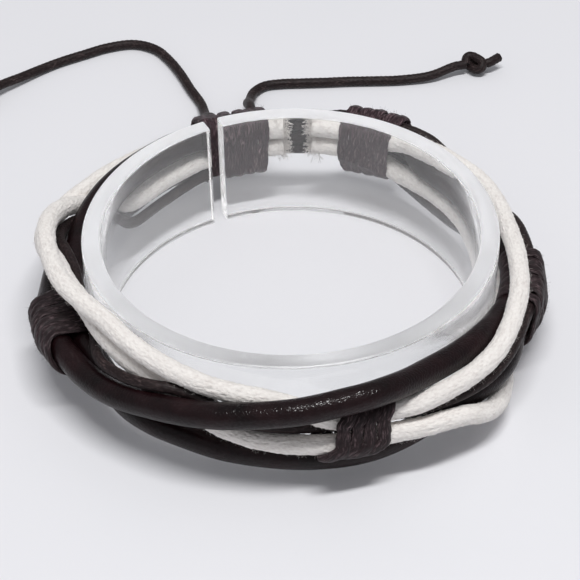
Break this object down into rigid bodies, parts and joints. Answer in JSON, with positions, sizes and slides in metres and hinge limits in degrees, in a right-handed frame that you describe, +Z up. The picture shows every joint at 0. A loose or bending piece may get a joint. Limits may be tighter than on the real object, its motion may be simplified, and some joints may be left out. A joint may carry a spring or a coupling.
{
  "type": "layered leather bracelet on a clear display ring",
  "caption": "Bracelet of dark leather and twisted white cords bound by waxed cord wraps, with a drawcord closure and two knotted tails, round a clear plastic display ring.",
  "frame": {"origin": "the display ring's axis, at the surface that the ring stands on", "axes": "+Z up along the ring's axis; the front wrap is towards -Y, the closure and its tails towards +Y, the left wrap towards -X and the right wrap towards +X"},
  "size_m": [0.1042, 0.1244, 0.0211],
  "materials": {
    "clear_plastic": "clear, polished",
    "leather": "round leather cord, satin",
    "white_cord": "twisted fibre, soft sheen",
    "waxed_cord": "waxed braided cord, matt"
  },
  "bodies": {
    "root": {"display_ring": "clear_plastic", "leather_upper": "leather", "leather_lower": "leather", "white_cord_a": "white_cord", "white_cord_b": "white_cord", "waxed_cord": "waxed_cord", "wrap_front": "waxed_cord", "wrap_left": "waxed_cord", "wrap_right": "waxed_cord", "closure_wrap_left": "waxed_cord", "closure_wrap_right": "waxed_cord", "drawcord_upper": "waxed_cord", "drawcord_lower": "waxed_cord", "tail_left": "waxed_cord", "tail_right": "waxed_cord", "knot_left": "waxed_cord", "knot_right": "waxed_cord"}
  },
  "joints": []
}
